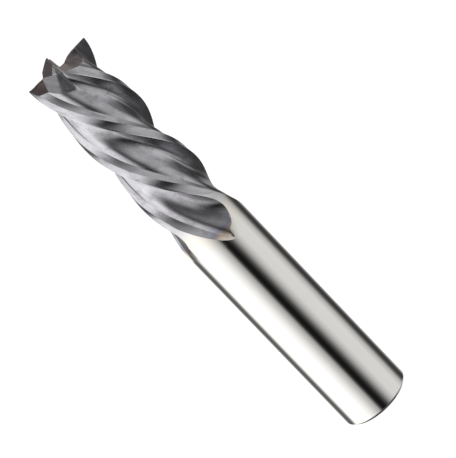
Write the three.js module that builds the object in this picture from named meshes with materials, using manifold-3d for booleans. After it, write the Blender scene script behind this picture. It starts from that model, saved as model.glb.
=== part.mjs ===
// Four-flute, centre-cutting, square-end solid carbide end mill.
// Millimetres. The tool stands on its shank: +Z runs up its axis to the cutting end, and the origin
// is the centre of the shank's end face. The flutes wind as a left-hand helix and the teeth cut
// left-handed: seen from the cutting end they face clockwise.

import * as THREE from 'three';
import { mergeVertices } from 'three/addons/utils/BufferGeometryUtils.js';
import Module from 'manifold-3d';

const wasm = await Module();
wasm.setup();

// Driving dimensions: lengths in millimetres, angles in degrees.
const CUT_DIAMETER = 12.7;
const OVERALL_LENGTH = 82.55;
const FLUTE_COUNT = 4;
const HELIX_LEAD = 57.8; // one full turn of a flute, about a 35 degree helix
const FIRST_TOOTH_ANGLE = 2.3; // turn of the first tooth's corner from +X, at the cutting end

// Section across one tooth, from its cutting edge over the land, the heel's facet and the flute.
const CORE_DIAMETER = 7.6; // the flutes' bottoms touch this circle
const PRIMARY_LAND = 0.25;
const PRIMARY_RELIEF = 8;
const SECONDARY_LAND = 1.52;
const SECONDARY_RELIEF = 15.3;
const HEEL_FACET = 1.26; // flat ground along the heel, between the land and the flute's back
const HEEL_FACET_FALL = 48;
const BACK_FALL = 8.3; // how much the flute's back falls where it leaves the heel's facet
const FLUTE_BOTTOM_LEAD = 16.3; // the deepest point lies this far ahead of the cutting edge
const RADIAL_RAKE = 10;
const BACK_HANDLES = [1.63, 1.97]; // reach of the curve handles at the facet and at the bottom
const HOOK_HANDLES = [1.1, 1.32]; // and at the bottom and the cutting edge

// Run-outs: the depth below the cutting end where the wheel starts to rise out of the work, then its
// change per degree and per squared degree away from the middle of the section.
const WHEEL_RADIUS = 25.5;
const FLUTE_RUNOUT = { start: 29.9, slope: -0.17, curve: 0.0011, middle: 46, firstAngle: 4 };
const LAND_RUNOUT = { start: 30.2, slope: 0, curve: 0, middle: 0, firstAngle: -20 };

// Cutting end. Each gash has a flat face along the end edge, which lies a little ahead of the radius,
// and a floor that falls outward. Depths are counted from the cutting end. The four are in the order
// of the teeth: the second and the fourth reach the centre.
const DISH_ANGLE = 2; // the end edges fall this much from the corners to the centre
const END_PRIMARY_RELIEF = 8;
const END_PRIMARY_LAND = 0.5;
const END_SECONDARY_RELIEF = 27;
const SHORT_GASH = { edgeAhead: 0.35, depthAtAxis: -1.55, floorSlope: 40, wallSlope: 20 };
const LONG_GASH = { edgeAhead: 0.1, depthAtAxis: 1.17, floorSlope: 30.5, wallSlope: 22 };
const DEEP_GASH = { edgeAhead: 0.35, depthAtAxis: 1.7, floorSlope: 32, wallSlope: 30 };
const GASHES = [SHORT_GASH, LONG_GASH, SHORT_GASH, DEEP_GASH];

// Shank.
const SHANK_LENGTH = 41.275; // the plain cylinder below the run-out, half of the overall length
const SHANK_CHAMFER = 0.6;

// Fineness of the faceted solids.
const SWEEP_STEPS = 43;
const CURVE_SEGMENTS = 5; // in each curve of a section
const ROUND_SEGMENTS = 72;

const RADIUS = CUT_DIAMETER / 2;
const CORE_RADIUS = CORE_DIAMETER / 2;
const HEAD_LENGTH = OVERALL_LENGTH - SHANK_LENGTH;
const TOOTH_PITCH = (2 * Math.PI) / FLUTE_COUNT;
const CLEAR_OF_TOOL = 12; // cutters reach this far beyond what they cut
const OVERRUN = 1; // blanks reach this far past the surfaces that trim them
const OUTSIDE = 1.3 * RADIUS; // swept sections are closed out here
const PAST_EDGE = 0.7; // how far a land runs on past its edge, as a share of the primary land
const PAST_HEEL = 0.3; // and past its heel, as a share of the secondary land
const OUTSIDE_GAP = Math.PI / 180; // keeps the closing arc clear of the lands' ends
const FURTHEST_TRAVEL = 0.9 * WHEEL_RADIUS; // the wheel is out of the work well before this
const MERGE_DISTANCE = 1e-5;
const radians = THREE.MathUtils.degToRad;

function direction(angle) {
  return new THREE.Vector2(Math.cos(angle), Math.sin(angle));
}

function turned(vector, angle) {
  return vector.clone().rotateAround(new THREE.Vector2(), angle);
}

function along(start, heading, distance) {
  return start.clone().addScaledVector(heading, distance);
}

// The cutting edge on +X, the end of its primary land and the heel behind the secondary land.
function landPoints() {
  const edge = new THREE.Vector2(RADIUS, 0);
  const primaryEnd = along(edge, direction(Math.PI / 2 + radians(PRIMARY_RELIEF)), PRIMARY_LAND);
  const heading = direction(primaryEnd.angle() + Math.PI / 2 + radians(SECONDARY_RELIEF));
  return { edge, primaryEnd, heel: along(primaryEnd, heading, SECONDARY_LAND) };
}

// A closed section of all teeth. Each starts at the first point, and drawRest adds the rest of one.
function toothedShape(firstPoint, drawRest) {
  const shape = new THREE.Shape();
  for (let tooth = 0; tooth < FLUTE_COUNT; tooth += 1) {
    const turn = tooth * TOOTH_PITCH;
    const place = (point) => turned(point, turn).toArray();
    if (tooth === 0) {
      shape.moveTo(...place(firstPoint));
    } else {
      shape.lineTo(...place(firstPoint));
    }
    drawRest(shape, place, turn);
  }
  return shape;
}

// The lands, each run on past its edge and its heel and joined to the next outside the tool.
function landShape() {
  const { edge, primaryEnd, heel } = landPoints();
  const ahead = edge.clone().lerp(primaryEnd, -PAST_EDGE);
  const behind = primaryEnd.clone().lerp(heel, 1 + PAST_HEEL);
  const arcStart = behind.angle() + OUTSIDE_GAP;
  const arcEnd = ahead.angle() - 2 * Math.PI + TOOTH_PITCH - OUTSIDE_GAP;
  return toothedShape(ahead, (shape, place, turn) => {
    [edge, primaryEnd, heel, behind].forEach((point) => shape.lineTo(...place(point)));
    shape.absarc(0, 0, OUTSIDE, turn + arcStart, turn + arcEnd, false);
  });
}

// The heels' facets and the flutes' backs and hooked rake faces, their ends run on outside the tool.
function fluteShape() {
  const { edge, heel } = landPoints();
  const facetHeading = direction(heel.angle() + Math.PI / 2 + radians(HEEL_FACET_FALL));
  const facetStart = along(heel, facetHeading, RADIUS - OUTSIDE);
  const valley = along(heel, facetHeading, HEEL_FACET);
  const backHeading = direction(valley.angle() + Math.PI / 2 + radians(BACK_FALL));
  const bottomAngle = TOOTH_PITCH - radians(FLUTE_BOTTOM_LEAD);
  const bottom = direction(bottomAngle).multiplyScalar(CORE_RADIUS);
  const bottomHeading = direction(bottomAngle + Math.PI / 2);
  const nextEdge = turned(edge, TOOTH_PITCH);
  const rakeOutward = direction(TOOTH_PITCH - radians(RADIAL_RAKE));
  const back = [
    along(valley, backHeading, BACK_HANDLES[0]),
    along(bottom, bottomHeading, -BACK_HANDLES[1]),
    bottom,
  ];
  const hook = [
    along(bottom, bottomHeading, HOOK_HANDLES[0]),
    along(nextEdge, rakeOutward, -HOOK_HANDLES[1]),
    nextEdge,
  ];
  const beyond = along(nextEdge, rakeOutward, OUTSIDE - RADIUS);
  return toothedShape(facetStart, (shape, place) => {
    shape.lineTo(...place(heel));
    shape.lineTo(...place(valley));
    shape.bezierCurveTo(...back.flatMap(place));
    shape.bezierCurveTo(...hook.flatMap(place));
    shape.lineTo(...place(beyond));
  });
}

// How far the wheel has risen at a depth below the cutting end and an angle in the unturned section.
function wheelLift(depth, angle, { start, slope, curve, middle, firstAngle }) {
  const pitch = THREE.MathUtils.radToDeg(TOOTH_PITCH);
  const inPitch = THREE.MathUtils.euclideanModulo(THREE.MathUtils.radToDeg(angle) - firstAngle, pitch);
  const fromMiddle = inPitch + firstAngle - middle;
  const travel = depth - start - slope * fromMiddle - curve * fromMiddle ** 2;
  const reach = THREE.MathUtils.clamp(travel, 0, FURTHEST_TRAVEL);
  return WHEEL_RADIUS - Math.sqrt(WHEEL_RADIUS ** 2 - reach ** 2);
}

function toSolid(geometry) {
  geometry.deleteAttribute('normal');
  geometry.deleteAttribute('uv');
  const merged = mergeVertices(geometry, MERGE_DISTANCE);
  const solid = new wasm.Manifold(
    new wasm.Mesh({
      numProp: 3,
      vertProperties: new Float32Array(merged.attributes.position.array),
      triVerts: new Uint32Array(merged.index.array),
    }),
  );
  return solid;
}

function toGeometry(solid) {
  const mesh = solid.getMesh();
  const geometry = new THREE.BufferGeometry();
  geometry.setAttribute('position', new THREE.BufferAttribute(mesh.vertProperties, 3));
  geometry.setIndex(new THREE.BufferAttribute(mesh.triVerts, 1));
  geometry.computeVertexNormals();
  return geometry;
}

function lathe(profile) {
  const points = profile.map(([radius, height]) => new THREE.Vector2(radius, height));
  return new THREE.LatheGeometry(points, ROUND_SEGMENTS).rotateX(Math.PI / 2);
}

// A section swept down the helix, rising outward where the wheel leaves the work.
function helicalSweep(shape, runout) {
  const length = HEAD_LENGTH + 2 * OVERRUN;
  const geometry = new THREE.ExtrudeGeometry(shape, {
    depth: length,
    steps: SWEEP_STEPS,
    curveSegments: CURVE_SEGMENTS,
    bevelEnabled: false,
  });
  const position = geometry.attributes.position;
  for (let i = 0; i < position.count; i += 1) {
    const point = new THREE.Vector2(position.getX(i), position.getY(i));
    const depth = length - OVERRUN - position.getZ(i);
    point.setLength(point.length() + wheelLift(depth, point.angle(), runout));
    const placed = turned(point, radians(FIRST_TOOTH_ANGLE) + (2 * Math.PI * depth) / HELIX_LEAD);
    position.setXYZ(i, placed.x, placed.y, OVERALL_LENGTH - depth);
  }
  return toSolid(geometry);
}

// The outer cylinder that ends the run-outs. Above them it widens, to leave the edges alone.
function outerCylinder() {
  const runoutTop = OVERALL_LENGTH - LAND_RUNOUT.start + OVERRUN;
  const wide = RADIUS + OVERRUN;
  return toSolid(
    lathe([
      [0, SHANK_LENGTH],
      [RADIUS, SHANK_LENGTH],
      [RADIUS, runoutTop],
      [wide, runoutTop + OVERRUN],
      [wide, OVERALL_LENGTH + OVERRUN / 2],
      [0, OVERALL_LENGTH + OVERRUN / 2],
    ]),
  );
}

function dishCutter() {
  const reach = RADIUS + OVERRUN;
  const slope = Math.tan(radians(DISH_ANGLE));
  return toSolid(
    lathe([
      [0, OVERALL_LENGTH - slope * RADIUS],
      [reach, OVERALL_LENGTH + slope * OVERRUN],
      [reach, OVERALL_LENGTH + CLEAR_OF_TOOL],
      [0, OVERALL_LENGTH + CLEAR_OF_TOOL],
    ]),
  );
}

// A block above a sloping plane, in the frame of one tooth: x runs out along the tooth's end edge
// and y back over its flank. depthAt gives the plane's depth below the cutting end.
function blockAbove(tooth, [xLow, xHigh], [yLow, yHigh], depthAt) {
  const geometry = new THREE.BoxGeometry(1, 1, 1);
  const position = geometry.attributes.position;
  for (let i = 0; i < position.count; i += 1) {
    const x = position.getX(i) < 0 ? xLow : xHigh;
    const y = position.getY(i) < 0 ? yLow : yHigh;
    const above = position.getZ(i) > 0;
    position.setXYZ(i, x, y, OVERALL_LENGTH + (above ? 2 * CLEAR_OF_TOOL : -depthAt(x, y)));
  }
  geometry.rotateZ(radians(FIRST_TOOTH_ANGLE) + tooth * TOOTH_PITCH);
  return toSolid(geometry);
}

// What lies above the two flanks behind a tooth's end edge.
function flankCutters(tooth, { edgeAhead }) {
  const dish = Math.tan(radians(DISH_ANGLE));
  const primary = Math.tan(radians(END_PRIMARY_RELIEF));
  const secondary = Math.tan(radians(END_SECONDARY_RELIEF));
  const outward = [edgeAhead, CLEAR_OF_TOOL];
  const back = [-edgeAhead, CLEAR_OF_TOOL];
  const primaryDepth = (x, y) => dish * (RADIUS - x) + primary * y;
  const stepDown = (primary - secondary) * END_PRIMARY_LAND;
  const secondaryDepth = (x, y) => dish * (RADIUS - x) + secondary * y + stepDown;
  return [blockAbove(tooth, outward, back, primaryDepth), blockAbove(tooth, outward, back, secondaryDepth)];
}

function gashCutter(tooth, { edgeAhead, depthAtAxis, floorSlope, wallSlope }) {
  const fall = Math.tan(radians(floorSlope));
  const rise = Math.tan(radians(wallSlope));
  const ahead = [-CLEAR_OF_TOOL, -edgeAhead];
  const depth = (x, y) => depthAtAxis + fall * x + rise * (y + edgeAhead);
  return blockAbove(tooth, [-RADIUS, CLEAR_OF_TOOL], ahead, depth);
}

function flutedHeadSolid() {
  let solid = helicalSweep(fluteShape(), FLUTE_RUNOUT)
    .intersect(helicalSweep(landShape(), LAND_RUNOUT))
    .intersect(outerCylinder())
    .subtract(dishCutter());
  GASHES.forEach((gash, tooth) => {
    [...flankCutters(tooth, gash), gashCutter(tooth, gash)].forEach((cutter) => {
      solid = solid.subtract(cutter);
    });
  });
  return solid;
}

function shankGeometry() {
  return lathe([
    [0, 0],
    [RADIUS - SHANK_CHAMFER, 0],
    [RADIUS, SHANK_CHAMFER],
    [RADIUS, SHANK_LENGTH],
    [0, SHANK_LENGTH],
  ]);
}

function part(name, geometry, material) {
  const mesh = new THREE.Mesh(geometry, new THREE.MeshStandardMaterial(material));
  mesh.name = name;
  return mesh;
}

const endMill = new THREE.Group();
endMill.add(
  part('fluted_head', toGeometry(flutedHeadSolid()), { color: 0x6f6f74, roughness: 0.35, metalness: 0.9 }),
  part('shank', shankGeometry(), { color: 0xd0cfcc, roughness: 0.12, metalness: 1 }),
);

export default endMill;
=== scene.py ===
"""A four-flute solid carbide end mill, standing on its shank on a pale floor.

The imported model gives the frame: +Z runs up the tool's axis to the cutting end, and the origin is the
centre of the shank's end face. Shapes are in metres and the materials' patterns in millimetres. Angles
are in degrees unless a name says otherwise.
"""
import math

import bpy
import numpy as np
from mathutils import Matrix, Vector


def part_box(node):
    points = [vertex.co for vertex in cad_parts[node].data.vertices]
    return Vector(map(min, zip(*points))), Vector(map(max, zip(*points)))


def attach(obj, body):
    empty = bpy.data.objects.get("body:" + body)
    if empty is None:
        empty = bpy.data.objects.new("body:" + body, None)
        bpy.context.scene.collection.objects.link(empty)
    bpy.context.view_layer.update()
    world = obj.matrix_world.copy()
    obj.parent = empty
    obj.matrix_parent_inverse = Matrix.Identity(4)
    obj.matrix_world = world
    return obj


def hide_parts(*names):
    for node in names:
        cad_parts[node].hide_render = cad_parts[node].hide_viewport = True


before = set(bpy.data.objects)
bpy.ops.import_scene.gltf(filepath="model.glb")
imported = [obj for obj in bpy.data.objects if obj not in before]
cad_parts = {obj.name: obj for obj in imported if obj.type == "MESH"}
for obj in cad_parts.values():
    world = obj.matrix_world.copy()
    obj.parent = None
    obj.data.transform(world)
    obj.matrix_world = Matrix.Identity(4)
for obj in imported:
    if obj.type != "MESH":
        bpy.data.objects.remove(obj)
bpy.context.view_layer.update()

MM = 0.001

# What the frame gives: the tool's radius, its height, and the plane where its two nodes meet.
head_low, head_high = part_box("fluted_head")
RADIUS = (head_high.x - head_low.x) / 2
HEIGHT = head_high.z
SPLIT = head_low.z
HEAD_LENGTH = HEIGHT - SPLIT

# The tool's form, with the CAD model's dimensions to a hundredth of a millimetre. Section angles are
# counted from a cutting edge back over its land and on to the next cutting edge.
FLUTES = 4
PITCH = 360 / FLUTES
HELIX_LEAD = 57.8 * MM
FIRST_TOOTH = 2.3
CORE_RADIUS = 0.6 * RADIUS
PRIMARY_LAND = 0.25 * MM
PRIMARY_RELIEF = 8
SECONDARY_LAND = 1.52 * MM
SECONDARY_RELIEF = 15.3
HEEL_FACET = 1.26 * MM
HEEL_FACET_FALL = 48
BACK_FALL = 8.3
RADIAL_RAKE = 10
FLUTE_BOTTOM_LEAD = 16.3
BACK_HANDLES = (0.257 * RADIUS, 0.31 * RADIUS)
HOOK_HANDLES = (0.174 * RADIUS, 0.208 * RADIUS)

# Run-outs: the depth below the cutting end where the wheel starts to rise out of the work, then its
# change per degree and per squared degree away from the middle of the section. The section's angles run
# from the first angle over one pitch.
WHEEL_RADIUS = 25.5 * MM
FLUTE_RUNOUT = dict(start=29.9 * MM, slope=-0.17 * MM, curve=0.0011 * MM, middle=46, first_angle=4)
LAND_RUNOUT = dict(start=30.2 * MM, slope=0, curve=0, middle=0, first_angle=-20)

# The cutting end. Each gash has a flat face along the end edge, which lies a little ahead of the radius.
# The four are in the order of the teeth: the second and the fourth reach the centre.
DISH = 2
END_PRIMARY_RELIEF = 8
END_PRIMARY_LAND = 0.5 * MM
END_SECONDARY_RELIEF = 27
SHORT_GASH = dict(edge_ahead=0.35 * MM, depth_at_axis=-1.55 * MM, floor_slope=40, wall_slope=20)
LONG_GASH = dict(edge_ahead=0.1 * MM, depth_at_axis=1.17 * MM, floor_slope=30.5, wall_slope=22)
DEEP_GASH = dict(edge_ahead=0.35 * MM, depth_at_axis=1.7 * MM, floor_slope=32, wall_slope=30)
GASHES = (SHORT_GASH, LONG_GASH, SHORT_GASH, DEEP_GASH)
GASH_CORNER = 0.25 * MM  # the CAD model leaves this corner sharp
SHANK_CHAMFER = 0.6 * MM

# Fineness of the surfaces.
SWEEP_STEP = 0.35 * MM
STEPS_PAST_SPLIT = 1.5
FACET_POINTS = 10
CURVE_POINTS = 24
CLOSING_POINTS = 14
CORNER_POINTS = 9
ROUND_SEGMENTS = 360
DISH_SEGMENTS = 180
SMOOTH_ANGLE = 25

# How far the blanks and the cutters reach past the surfaces that they leave behind.
CLEAR = 12 * MM
OVERRUN = 1 * MM
BLANK_ABOVE_END = 0.5 * MM
BLANK_RADIUS = 1.15 * RADIUS  # above the run-outs
OUTSIDE = 1.3 * RADIUS  # swept sections are closed out here
OUTSIDE_GAP = 1  # degrees that keep the closing arc clear of the lands' ends
PAST_EDGE = 0.7  # a share of the primary land
PAST_HEEL = 0.3  # a share of the secondary land
LAND_SHARES = np.linspace(0.06, 1, 5)  # points behind the primary land, as shares of the rest
BEFORE_FACET = 0.3 * RADIUS
PAST_RAKE = (0.06, 0.2, 0.35)  # shares of the radius
FURTHEST_TRAVEL = 0.9 * WHEEL_RADIUS  # the wheel is out of the work well before this


def polar(radius, degrees):
    angle = math.radians(degrees)
    return np.array([radius * math.cos(angle), radius * math.sin(angle)])


def angle_of(point):
    return math.degrees(math.atan2(point[1], point[0]))


def tangent(degrees):
    return math.tan(math.radians(degrees))


def turn(points, degrees):
    angle = math.radians(degrees)
    c, s = math.cos(angle), math.sin(angle)
    return np.asarray(points) @ np.array([[c, s], [-s, c]])


def bezier(start, handle_a, handle_b, end):
    t = np.linspace(0, 1, CURVE_POINTS)[:, None]
    return (
        (1 - t) ** 3 * start
        + 3 * (1 - t) ** 2 * t * handle_a
        + 3 * (1 - t) * t**2 * handle_b
        + t**3 * end
    )


def arc(radius, start, end, count):
    return np.array([polar(radius, a) for a in np.linspace(start, end, count)])


def all_teeth(one):
    return np.vstack([turn(one, PITCH * tooth) for tooth in range(FLUTES)])


def land_points():
    """The cutting edge on +X, the end of the primary land and the heel."""
    edge = polar(RADIUS, 0)
    primary_end = edge + polar(PRIMARY_LAND, 90 + PRIMARY_RELIEF)
    heading = angle_of(primary_end) + 90 + SECONDARY_RELIEF
    heel = primary_end + polar(SECONDARY_LAND, heading)
    return edge, primary_end, heel


def land_section():
    """Lands of all teeth, each run on past its edge and its heel, joined outside the tool."""
    edge, primary_end, heel = land_points()
    ahead = edge - (primary_end - edge) * PAST_EDGE
    behind = heel + (heel - primary_end) * PAST_HEEL
    one = [ahead, edge, primary_end]
    one += [primary_end + (behind - primary_end) * share for share in LAND_SHARES]
    closing_start = angle_of(behind) + OUTSIDE_GAP
    closing_end = PITCH + angle_of(ahead) - OUTSIDE_GAP
    one += list(arc(OUTSIDE, closing_start, closing_end, CLOSING_POINTS))
    return all_teeth(one)


def flute_section():
    """Heel facets, flute backs and hooked rake faces of all teeth, their ends run on outside the tool."""
    heel = land_points()[2]
    facet_heading = polar(1, angle_of(heel) + 90 + HEEL_FACET_FALL)
    valley = heel + facet_heading * HEEL_FACET
    back_heading = polar(1, angle_of(valley) + 90 + BACK_FALL)
    bottom_angle = PITCH - FLUTE_BOTTOM_LEAD
    bottom = polar(CORE_RADIUS, bottom_angle)
    bottom_heading = polar(1, bottom_angle + 90)
    next_edge = polar(RADIUS, PITCH)
    rake_outward = polar(1, PITCH - RADIAL_RAKE)
    near, far = BACK_HANDLES
    back = bezier(valley, valley + back_heading * near, bottom - bottom_heading * far, bottom)
    near, far = HOOK_HANDLES
    hook = bezier(bottom, bottom + bottom_heading * near, next_edge - rake_outward * far, next_edge)
    facet_reaches = np.linspace(-BEFORE_FACET, HEEL_FACET, FACET_POINTS)
    facet = [heel + facet_heading * reach for reach in facet_reaches]
    beyond = [next_edge + rake_outward * share * RADIUS for share in PAST_RAKE]
    return all_teeth(np.vstack([facet[:-1], back[:-1], hook, beyond]))


def solid(name, verts, faces):
    mesh = bpy.data.meshes.new(name)
    mesh.from_pydata([tuple(v) for v in verts], [], faces)
    mesh.validate()
    piece = bpy.data.objects.new(name, mesh)
    bpy.context.scene.collection.objects.link(piece)
    return piece


def sweep(name, section, runout):
    """A section swept down the helix, from just above the cutting end to just past the split.

    In the run-out it rises outward.
    """
    levels = np.arange(-OVERRUN, HEAD_LENGTH + STEPS_PAST_SPLIT * SWEEP_STEP, SWEEP_STEP)
    radius = np.hypot(section[:, 0], section[:, 1])
    angle = np.degrees(np.arctan2(section[:, 1], section[:, 0]))
    section_angle = (angle - runout["first_angle"]) % PITCH + runout["first_angle"]
    from_middle = section_angle - runout["middle"]
    start = runout["start"] + runout["slope"] * from_middle + runout["curve"] * from_middle**2
    rings = []
    for depth in levels:
        travel = np.clip(depth - start, 0, FURTHEST_TRAVEL)
        lifted = radius + WHEEL_RADIUS - np.sqrt(WHEEL_RADIUS**2 - travel**2)
        twist = np.radians(angle + FIRST_TOOTH + 360 * depth / HELIX_LEAD)
        z = np.full(len(section), HEIGHT - depth)
        rings.append(np.stack([lifted * np.cos(twist), lifted * np.sin(twist), z], 1))
    count = len(section)
    faces = [tuple(range(count))]
    for level in range(len(levels) - 1):
        a, b = level * count, (level + 1) * count
        for i in range(count):
            j = (i + 1) % count
            faces.append((a + j, a + i, b + i, b + j))
    faces.append(tuple(reversed(range((len(levels) - 1) * count, len(levels) * count))))
    return solid(name, np.vstack(rings), faces)


def revolve(name, profile, segments):
    """A closed solid of revolution about +Z. The profile starts and ends on the axis."""
    inner = profile[1:-1]
    verts = [(0, 0, profile[0][1]), (0, 0, profile[-1][1])]
    for i in range(segments):
        angle = 2 * math.pi * i / segments
        verts += [(r * math.cos(angle), r * math.sin(angle), z) for r, z in inner]
    count = len(inner)
    faces = []
    for i in range(segments):
        a = 2 + i * count
        b = 2 + (i + 1) % segments * count
        faces.append((0, b, a))
        faces += [(a + k, b + k, b + k + 1, a + k + 1) for k in range(count - 1)]
        faces.append((1, a + count - 1, b + count - 1))
    return solid(name, verts, faces)


def boolean(target, cutter, operation):
    modifier = target.modifiers.new(operation.lower(), "BOOLEAN")
    modifier.operation = operation
    modifier.object = cutter
    modifier.solver = "MANIFOLD"
    bpy.context.view_layer.objects.active = target
    bpy.ops.object.modifier_apply(modifier=modifier.name)
    bpy.data.objects.remove(cutter)


def outer_cylinder():
    """The ground cylinder that the run-outs cut into, and room for the lands above it."""
    runout_top = HEIGHT - LAND_RUNOUT["start"] + OVERRUN
    top = HEIGHT + BLANK_ABOVE_END
    profile = [
        (0, SPLIT), (RADIUS, SPLIT), (RADIUS, runout_top),
        (BLANK_RADIUS, runout_top + OVERRUN), (BLANK_RADIUS, top), (0, top),
    ]
    return revolve("outer_cylinder", profile, ROUND_SEGMENTS)


def dish_cutter():
    """What lies above the shallow cone of the end edges."""
    slope = tangent(DISH)
    reach = RADIUS + OVERRUN
    top = HEIGHT + CLEAR
    profile = [(0, HEIGHT - slope * RADIUS), (reach, HEIGHT + slope * OVERRUN), (reach, top), (0, top)]
    return revolve("dish", profile, DISH_SEGMENTS)


def prism(name, profile, x_low, x_high, drop):
    """A (y, z) profile extruded along x, dropping as x grows."""
    count = len(profile)
    verts = [(x, y, z - drop(x)) for x in (x_low, x_high) for y, z in profile]
    faces = [tuple(range(count)), tuple(reversed(range(count, 2 * count)))]
    for i in range(count):
        j = (i + 1) % count
        faces.append((j, i, i + count, j + count))
    return solid(name, verts, faces)


def flank_cutter(slope, step_down, edge_ahead):
    """What lies above the flank behind an end edge, in the frame of a tooth whose edge lies on +X."""
    fall = tangent(slope)
    dish = tangent(DISH)
    start, end = -edge_ahead, CLEAR
    base = HEIGHT - dish * RADIUS
    profile = [
        (start, base - fall * start + step_down), (start, HEIGHT + CLEAR),
        (end, HEIGHT + CLEAR), (end, base - fall * end + step_down),
    ]
    return prism("flank", profile, edge_ahead, CLEAR, lambda x: -dish * x)


def gash_cutter(edge_ahead, depth_at_axis, floor_slope, wall_slope):
    """The gash ahead of an end edge: a flat face, a small round corner and a floor."""
    fall = tangent(floor_slope)
    turn_angle = 90 - wall_slope
    setback = GASH_CORNER / math.tan(math.radians(turn_angle) / 2)
    centre_y = -edge_ahead - GASH_CORNER
    centre_z = HEIGHT - depth_at_axis + setback
    top = HEIGHT + 2 * CLEAR
    profile = [(-edge_ahead, top)]
    for y, z in arc(GASH_CORNER, 0, -(180 - turn_angle), CORNER_POINTS):
        profile.append((centre_y + y, centre_z + z))
    last_y, last_z = profile[-1]
    profile.append((last_y - CLEAR, last_z + CLEAR * tangent(wall_slope)))
    profile.append((last_y - CLEAR, top))
    return prism("gash", profile, -RADIUS, CLEAR, lambda x: fall * x)


def turned_to_tooth(cutter, tooth):
    cutter.data.transform(Matrix.Rotation(math.radians(FIRST_TOOTH + PITCH * tooth), 4, "Z"))
    return cutter


def fluted_head():
    head = sweep("head_with_flutes", flute_section(), FLUTE_RUNOUT)
    boolean(head, sweep("lands", land_section(), LAND_RUNOUT), "INTERSECT")
    boolean(head, outer_cylinder(), "INTERSECT")
    boolean(head, dish_cutter(), "DIFFERENCE")
    step_down = (tangent(END_SECONDARY_RELIEF) - tangent(END_PRIMARY_RELIEF)) * END_PRIMARY_LAND
    for tooth, gash in enumerate(GASHES):
        cutters = (
            flank_cutter(END_PRIMARY_RELIEF, 0, gash["edge_ahead"]),
            flank_cutter(END_SECONDARY_RELIEF, step_down, gash["edge_ahead"]),
            gash_cutter(**gash),
        )
        for cutter in cutters:
            boolean(head, turned_to_tooth(cutter, tooth), "DIFFERENCE")
    return head


def shank():
    profile = [(0, 0), (RADIUS - SHANK_CHAMFER, 0), (RADIUS, SHANK_CHAMFER), (RADIUS, SPLIT), (0, SPLIT)]
    return revolve("polished_shank", profile, ROUND_SEGMENTS)


def smooth_by_angle(piece):
    bpy.context.view_layer.objects.active = piece
    piece.select_set(True)
    bpy.ops.object.shade_smooth_by_angle(angle=math.radians(SMOOTH_ANGLE))
    piece.select_set(False)


head = fluted_head()
smooth_by_angle(head)
body = shank()
smooth_by_angle(body)
for piece, node, slot in ((head, "fluted_head", "coated_carbide"), (body, "shank", "bare_carbide")):
    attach(piece, "root")
    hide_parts(node)


class Nodes:
    """A short way to build a shader tree: every call adds nodes and returns an output socket."""

    def __init__(self, owner):
        owner.use_nodes = True
        self.tree = owner.node_tree
        self.tree.nodes.clear()

    def add(self, kind, inputs=None, output=0, **settings):
        node = self.tree.nodes.new(kind)
        for name, value in settings.items():
            setattr(node, name, value)
        for key, value in (inputs or {}).items():
            self.put(node.inputs[key], value)
        return node.outputs[output] if node.outputs else node

    def put(self, socket, value):
        if isinstance(value, bpy.types.NodeSocket):
            self.tree.links.new(value, socket)
        elif socket.type == "RGBA" and len(value) == 3:
            socket.default_value = (*value, 1)
        else:
            socket.default_value = value

    def math(self, operation, first, second=0.0, third=0.0):
        places = {0: first, 1: second, 2: third}
        return self.add("ShaderNodeMath", places, operation=operation)

    def times(self, first, second):
        """The first value times the second."""
        return self.math("MULTIPLY", first, second)

    def line(self, value, gain, offset):
        """The value times the gain, plus the offset."""
        return self.math("MULTIPLY_ADD", value, gain, offset)

    def span(self, value, low, high, to_low=0.0, to_high=1.0):
        """A smooth step from to_low at low to to_high at high."""
        places = {0: value, 1: low, 2: high, 3: to_low, 4: to_high}
        return self.add("ShaderNodeMapRange", places, interpolation_type="SMOOTHSTEP")

    def axes(self, vector):
        """The three axes of a vector, as three sockets."""
        node = self.tree.nodes.new("ShaderNodeSeparateXYZ")
        self.put(node.inputs[0], vector)
        return node.outputs

    def place(self):
        """The shaded point in the piece's own coordinates, which are the frame's."""
        return self.add("ShaderNodeTexCoord", output="Object")

    def vector(self, x, y, z):
        return self.add("ShaderNodeCombineXYZ", {0: x, 1: y, 2: z})

    def noise(self, vector, scale, detail=3.0, roughness=0.5, distortion=0.0):
        places = {"Vector": vector, "Scale": scale, "Detail": detail, "Roughness": roughness,
                  "Distortion": distortion}
        return self.add("ShaderNodeTexNoise", places)

    def mix(self, share, first, second, blend="MIX"):
        places = {0: share, 6: first, 7: second}
        return self.add("ShaderNodeMix", places, output=2, data_type="RGBA", blend_type=blend)

    def shaded(self, color, shade):
        """A colour times a grey."""
        return self.mix(1.0, color, self.vector(shade, shade, shade), "MULTIPLY")

    def ramp(self, value, stops):
        """A colour ramp. Each stop is a place from 0 to 1 and a grey or a colour."""
        node = self.tree.nodes.new("ShaderNodeValToRGB")
        self.put(node.inputs[0], value)
        elements = node.color_ramp.elements
        while len(elements) < len(stops):
            elements.new(0.5)
        for element, (place, color) in zip(elements, stops):
            grey = isinstance(color, (int, float))
            element.position = place
            element.color = (color, color, color, 1) if grey else (*color, 1)
        return node.outputs[0]

    def metal(self, color, roughness, lines, strength, height):
        """The finished surface of a metal, with fine lines in its relief."""
        relief = {"Strength": strength, "Distance": height, "Height": lines}
        shader = self.add("ShaderNodeBsdfPrincipled", {
            "Base Color": color, "Metallic": 1.0, "Roughness": roughness,
            "Normal": self.add("ShaderNodeBump", relief),
        })
        self.add("ShaderNodeOutputMaterial", {"Surface": shader})


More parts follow.
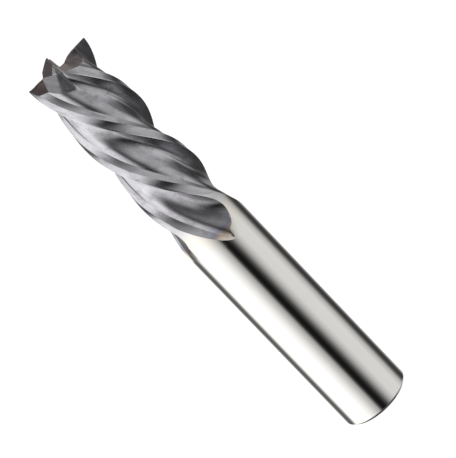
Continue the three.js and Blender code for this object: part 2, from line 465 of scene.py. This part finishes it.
# The coated head's finish. A pattern's scale is per millimetre across a flute, and its stretch is the
# share of that scale along it. Distances and depths are in millimetres unless MM names them.
STREAKS = dict(stretch=0.12, scale=2.4, detail=5)
SMEARS = dict(stretch=0.5, scale=0.75, detail=4, distortion=0.8)
DEPOSITS = dict(stretch=0.9, scale=0.55, detail=6, roughness=0.62)
FLUTE_LINES = dict(stretch=0.12, scale=16.0, detail=3)
SMEAR_SHADES = (0.7, 0.67)  # gain and offset of the grey
STREAK_SHADES = (0.3, 0.85)
DEPOSIT_COVER = (0.50, 0.68, 0.0, 0.45)
DEPOSIT_TINT = (0.27, 0.235, 0.25)
FADE_WAVER = 1.6  # the smears move the fade up and down by half of this
WORN_DEPTHS = (39.0, 41.2)  # where the bare metal's roughness takes over
EDGE_WAVER = 0.03
# A painted highlight: a pale strip just inside the cutting radius, for the bright line along each cutting
# edge.
EDGE_HIGHLIGHT_BAND = (0.024, 0.012)  # distances inside the cutting radius
EDGE_HIGHLIGHT_SHARE = 0.7
EDGE_HIGHLIGHT_TINT = (0.80, 0.79, 0.78)
# Painted shade: surfaces that face this far up, the end flanks, are darkened to brown.
FLANKS_FACE_UP = (0.84, 0.88)  # the upward part of the normal, on the end flanks and nowhere else
FLANK_PAINTED_SHADE = (0.50, 0.41, 0.395)
# A painted highlight in a pale tint, on a narrow strip just behind each gash's flat face.
END_HIGHLIGHT_SHARE = 0.8
END_HIGHLIGHT_TINT = (0.95, 0.93, 0.92)
END_HIGHLIGHT_START = 0.01  # distance behind the gash's flat face
END_HIGHLIGHT_END = (0.18, 0.26)
END_HIGHLIGHT_FROM_AXIS = (0.2, 0.5)
END_HIGHLIGHT_DEPTHS = (5 * MM, 4.2 * MM)
CYLINDER_SKIN = (0.03, 0.01)  # distances inside the cutting radius
CYLINDER_DEPTHS = (32.5, 34.0)
COAT_ROUGHNESS = (0.18, 0.09)  # gain and offset over the streaks
DEPOSIT_ROUGHNESS = 0.3
WORN_ROUGHNESS = 0.09
FLUTE_LINE_RELIEF = dict(strength=0.35, height=0.02 * MM)

# Colours by depth in millimetres, as the coating thins out over the run-outs: grey, blue, purple, gold
# and cream in the flutes, cream on the cylinder between them, then the bare metal.
COATING_GREY = (0.53, 0.525, 0.55)
BARE_METAL = (0.93, 0.915, 0.885)
COATING_FADE = [
    (37.2, COATING_GREY), (38.0, (0.44, 0.46, 0.53)), (38.6, (0.36, 0.34, 0.41)),
    (39.1, (0.44, 0.37, 0.34)), (39.6, (0.68, 0.55, 0.44)), (40.4, (0.88, 0.81, 0.72)),
    (41.2, BARE_METAL),
]
CYLINDER_FADE = [
    (33.2, COATING_GREY), (35.0, (0.72, 0.70, 0.70)), (36.6, (0.89, 0.84, 0.77)),
    (38.8, (0.93, 0.89, 0.825)), (41.2, BARE_METAL),
]


def tool_places(nodes):
    """Depth below the cutting end, distance from the axis and section angle, in millimetres and radians.

    The section angle is counted back along the helix, so it is constant along a flute.
    """
    x, y, z = nodes.axes(nodes.place())
    depth = nodes.line(z, -1 / MM, HEIGHT / MM)
    across = nodes.math("SQRT", nodes.line(x, x, nodes.times(y, y)))
    radius = nodes.times(across, 1 / MM)
    azimuth = nodes.math("ARCTAN2", y, x)
    section_angle = nodes.line(depth, -2 * math.pi * MM / HELIX_LEAD, azimuth)
    return depth, radius, section_angle


def flute_noise(nodes, places, stretch, **pattern):
    """Noise that changes slowly along the flutes, for streaks and grinding lines."""
    depth, radius, section_angle = places
    east = nodes.times(nodes.math("COSINE", section_angle), radius)
    north = nodes.times(nodes.math("SINE", section_angle), radius)
    return nodes.noise(nodes.vector(east, north, nodes.times(depth, stretch)), **pattern)


def fade_ramp(nodes, depth, stops):
    low, high = stops[0][0], stops[-1][0]
    place = nodes.line(depth, 1 / (high - low), -low / (high - low))
    return nodes.ramp(place, [((d - low) / (high - low), color) for d, color in stops])


def near_radius(nodes, radius, distances):
    """A step that rises between two distances inside the cutting radius, given as far and near."""
    far, near = distances
    return nodes.span(radius, RADIUS / MM - far, RADIUS / MM - near)


def end_edge_highlights(nodes):
    """A mask for the narrow strip just behind each gash's flat face, where a highlight is painted in a pale
    tint.
    """
    x, y, z = nodes.axes(nodes.place())
    strips = 0.0
    for tooth, gash in enumerate(GASHES):
        east, north = polar(1 / MM, FIRST_TOOTH + PITCH * tooth)
        along = nodes.line(x, east, nodes.times(y, north))
        across = nodes.line(y, east, nodes.times(x, -north))
        face = -gash["edge_ahead"] / MM
        strip = nodes.span(across, face, face + END_HIGHLIGHT_START)
        near, far = END_HIGHLIGHT_END
        strip = nodes.times(strip, nodes.span(across, face + near, face + far, 1.0, 0.0))
        strip = nodes.times(strip, nodes.span(along, *END_HIGHLIGHT_FROM_AXIS))
        strips = nodes.math("MAXIMUM", strips, strip)
    low, high = END_HIGHLIGHT_DEPTHS
    return nodes.times(strips, nodes.span(z, HEIGHT - low, HEIGHT - high))


def coating_color(nodes, radius, streaks, smears, deposits, fade_depth):
    """The coating in the flutes and on the end: faded, shaded by streaks and smears, and stained, with
    painted highlights along the cutting edges and behind the gashes and painted shade on the end flanks.
    """
    color = fade_ramp(nodes, fade_depth, COATING_FADE)
    shade = nodes.line(smears, *SMEAR_SHADES)
    shade = nodes.times(shade, nodes.line(streaks, *STREAK_SHADES))
    color = nodes.shaded(color, shade)
    color = nodes.mix(deposits, color, DEPOSIT_TINT)
    # Painted highlight: the strip along each cutting edge is mixed towards a pale grey.
    edge = nodes.math("ADD", radius, nodes.line(streaks, EDGE_WAVER, -EDGE_WAVER / 2))
    edge_highlight = nodes.times(near_radius(nodes, edge, EDGE_HIGHLIGHT_BAND), EDGE_HIGHLIGHT_SHARE)
    color = nodes.mix(edge_highlight, color, EDGE_HIGHLIGHT_TINT)
    # Painted shade: the up-facing end flanks are darkened to brown by the direction of their normal.
    facing_up = nodes.axes(nodes.add("ShaderNodeNewGeometry", output="Normal"))[2]
    color = nodes.mix(nodes.span(facing_up, *FLANKS_FACE_UP), color, FLANK_PAINTED_SHADE)
    # Painted highlight on the strip just behind each gash's flat face.
    return nodes.mix(nodes.times(end_edge_highlights(nodes), END_HIGHLIGHT_SHARE), color, END_HIGHLIGHT_TINT)


def coated_carbide():
    """A dark grey hard coating over ground carbide, streaked along the flutes, with painted highlights
    along the cutting edges and behind the gashes, and painted shade on the end flanks.
    """
    material = bpy.data.materials.new("coated_carbide")
    nodes = Nodes(material)
    places = tool_places(nodes)
    depth, radius, _ = places
    streaks = flute_noise(nodes, places, **STREAKS)
    smears = flute_noise(nodes, places, **SMEARS)
    deposits = nodes.span(flute_noise(nodes, places, **DEPOSITS), *DEPOSIT_COVER)
    fade_depth = nodes.math("ADD", depth, nodes.line(smears, FADE_WAVER, -FADE_WAVER / 2))
    coating = coating_color(nodes, radius, streaks, smears, deposits, fade_depth)
    outside = near_radius(nodes, radius, CYLINDER_SKIN)
    bare = nodes.times(outside, nodes.span(depth, *CYLINDER_DEPTHS))
    color = nodes.mix(bare, coating, fade_ramp(nodes, fade_depth, CYLINDER_FADE))
    rough_coat = nodes.line(streaks, *COAT_ROUGHNESS)
    rough_coat = nodes.line(deposits, DEPOSIT_ROUGHNESS, rough_coat)
    worn = nodes.math("MAXIMUM", bare, nodes.span(depth, *WORN_DEPTHS))
    roughness = nodes.line(worn, nodes.math("SUBTRACT", WORN_ROUGHNESS, rough_coat), rough_coat)
    nodes.metal(color, roughness, flute_noise(nodes, places, **FLUTE_LINES), **FLUTE_LINE_RELIEF)
    return material


# The bare shank's finish.
AROUND_STRETCH = 0.05  # its grinding lines' scale around the shank over the scale along it
SHANK_LINES = dict(scale=9.0, detail=4, roughness=0.6)
SHANK_CLOUDS = dict(scale=0.16, detail=4)
CHAMFER_HEIGHTS = (0.5, 0.75)
CLOUD_SHADES = (0.06, 0.97)  # gain and offset of the grey
# Painted shade: the chamfer's grey is darkened, for the dark line at the shank's end.
CHAMFER_PAINTED_SHADE = -0.12
LINE_ROUGHNESS = (0.05, 0.05)  # gain and offset over the lines
CLOUD_ROUGHNESS = 0.04
CHAMFER_ROUGHNESS = 0.12
SHANK_LINE_RELIEF = dict(strength=0.2, height=0.004 * MM)


def bare_carbide():
    """Ground and polished carbide: fine lines around the shank, faint clouds, a duller chamfer whose grey
    is darkened as painted shade.
    """
    material = bpy.data.materials.new("bare_carbide")
    nodes = Nodes(material)
    x, y, z = (nodes.times(axis, 1 / MM) for axis in nodes.axes(nodes.place()))
    around = nodes.vector(nodes.times(x, AROUND_STRETCH), nodes.times(y, AROUND_STRETCH), z)
    lines = nodes.noise(around, **SHANK_LINES)
    clouds = nodes.noise(nodes.vector(x, y, z), **SHANK_CLOUDS)
    chamfer = nodes.span(z, *CHAMFER_HEIGHTS, 1.0, 0.0)
    shade = nodes.line(clouds, *CLOUD_SHADES)
    # Painted shade on the chamfer; its added roughness below is the duller grind.
    shade = nodes.line(chamfer, CHAMFER_PAINTED_SHADE, shade)
    roughness = nodes.line(lines, *LINE_ROUGHNESS)
    roughness = nodes.line(clouds, CLOUD_ROUGHNESS, roughness)
    roughness = nodes.line(chamfer, CHAMFER_ROUGHNESS, roughness)
    nodes.metal(nodes.shaded(BARE_METAL, shade), roughness, lines, **SHANK_LINE_RELIEF)
    return material


def dress(piece, material):
    """Booleans leave empty slots behind, so the slots are cleared first."""
    piece.data.materials.clear()
    piece.data.materials.append(material)


dress(head, coated_carbide())
dress(body, bare_carbide())


# Studio light on five levels above a dark ground, as grey by azimuth in degrees from the -Y side towards
# +X: a white wall on the left, a narrow black flag in front, a grey wall on the right and dark corners.
TABLE_TOP = [
    (-180, 0.07), (-40, 0.07), (-12, 0.09), (4, 0.12), (20, 0.18), (44, 0.18), (62, 0.11), (82, 0.07),
    (180, 0.07),
]
SKIRT = [
    (-180, 0.30), (-150, 0.10), (-110, 0.30), (-80, 0.32), (-60, 0.26), (-40, 0.34), (-22, 0.30),
    (-10, 0.14), (0, 0.05), (10, 0.09), (20, 0.30), (30, 0.52), (46, 0.62), (62, 0.42), (80, 0.10),
    (100, 0.06), (120, 0.12), (145, 0.35), (180, 0.30),
]
LOW_WALL = [
    (-180, 0.45), (-160, 0.30), (-140, 0.06), (-126, 0.25), (-116, 1.1), (-70, 1.28), (-42, 0.92),
    (-22, 0.50), (-16, 0.37), (-12, 0.12), (-7, 0.012), (3, 0.006), (9, 0.022), (16, 0.08), (24, 0.26),
    (34, 0.50), (48, 0.70), (84, 0.72), (104, 0.47), (116, 0.12), (126, 0.04), (142, 0.05), (160, 0.35),
    (180, 0.45),
]
HIGH_WALL = [
    (-180, 0.30), (-170, 0.12), (-152, 0.15), (-138, 0.50), (-115, 1.25), (-50, 1.42), (-28, 0.78),
    (-10, 0.13), (2, 0.10), (14, 0.22), (40, 0.56), (100, 0.62), (128, 0.38), (150, 0.25), (180, 0.30),
]
CEILING = [
    (-180, 0.10), (-155, 0.10), (-125, 0.12), (-105, 0.20), (-82, 0.70), (0, 0.60), (90, 0.62),
    (118, 0.45), (140, 0.20), (160, 0.10), (180, 0.10),
]
GROUND = (0.078, 0.070, 0.079)
WHITE = (1.0, 1.0, 1.0)
# Each level with the sines of the elevations between which it blends in over the one below it.
LEVELS = [
    (TABLE_TOP, -0.98, -0.92), (SKIRT, -0.84, -0.74), (LOW_WALL, -0.64, -0.42),
    (HIGH_WALL, -0.28, 0.05), (CEILING, 0.35, 0.70),
]


def make_world():
    """The studio as the tool sees it. The camera sees plain white."""
    world = bpy.data.worlds.new("studio")
    nodes = Nodes(world)
    x, y, z = nodes.axes(nodes.add("ShaderNodeTexCoord"))
    azimuth = nodes.math("ARCTAN2", x, nodes.times(y, -1.0))
    place = nodes.line(azimuth, 0.5 / math.pi, 0.5)
    light = GROUND
    for level, low, high in LEVELS:
        greys = nodes.ramp(place, [((a + 180) / 360, grey) for a, grey in level])
        light = nodes.mix(nodes.span(z, low, high), light, greys)
    seen_by_camera = nodes.add("ShaderNodeLightPath", output="Is Camera Ray")
    light = nodes.mix(seen_by_camera, light, WHITE)
    background = nodes.add("ShaderNodeBackground", {"Color": light, "Strength": 1.0})
    nodes.add("ShaderNodeOutputWorld", {"Surface": background})
    bpy.context.scene.world = world


FLOOR_SIZE = 30.0
FLOOR_GREY = (0.6, 0.6, 0.6)
FLOOR_ROUGHNESS = 0.9
FLOOR_GLOW = 0.8


def make_floor():
    """A floor that gives light of its own, so it shows as white. The metal doesn't mirror it."""
    half = FLOOR_SIZE / 2
    corners = [(-half, -half, 0), (half, -half, 0), (half, half, 0), (-half, half, 0)]
    floor = solid("floor", corners, [(0, 1, 2, 3)])
    material = bpy.data.materials.new("pale_floor")
    nodes = Nodes(material)
    shader = nodes.add("ShaderNodeBsdfPrincipled", {
        "Base Color": FLOOR_GREY, "Roughness": FLOOR_ROUGHNESS,
        "Emission Color": WHITE, "Emission Strength": FLOOR_GLOW,
    })
    nodes.add("ShaderNodeOutputMaterial", {"Surface": shader})
    floor.data.materials.append(material)
    floor.visible_glossy = False


make_world()
make_floor()
bpy.context.scene.view_settings.view_transform = "Standard"

# Camera: a long lens that looks along +Y, tilted down by its elevation and rolled, so that the tool lies
# slantwise in the view.
CAMERA_AIM = Vector((1.72 * MM, 0, 41.0 * MM))
CAMERA_DISTANCE = 776.8 * MM
CAMERA_ELEVATION = 20.88
CAMERA_ROLL = 43.74
CAMERA_LENS = 367.7  # focal length in millimetres, for a full-frame sensor
CAMERA_SENSOR = 36
CAMERA_FAR = 100


def make_camera():
    data = bpy.data.cameras.new("camera")
    data.lens = CAMERA_LENS
    data.sensor_width = CAMERA_SENSOR
    data.sensor_fit = "HORIZONTAL"
    data.clip_end = CAMERA_FAR
    camera = bpy.data.objects.new("camera", data)
    elevation = math.radians(CAMERA_ELEVATION)
    back = Vector((0, -math.cos(elevation), math.sin(elevation)))
    tilt = Matrix.Rotation(math.pi / 2 - elevation, 4, "X")
    roll = Matrix.Rotation(math.radians(-CAMERA_ROLL), 4, "Z")
    camera.matrix_world = Matrix.Translation(CAMERA_AIM + back * CAMERA_DISTANCE) @ (tilt @ roll)
    bpy.context.scene.collection.objects.link(camera)
    bpy.context.scene.camera = camera


make_camera()
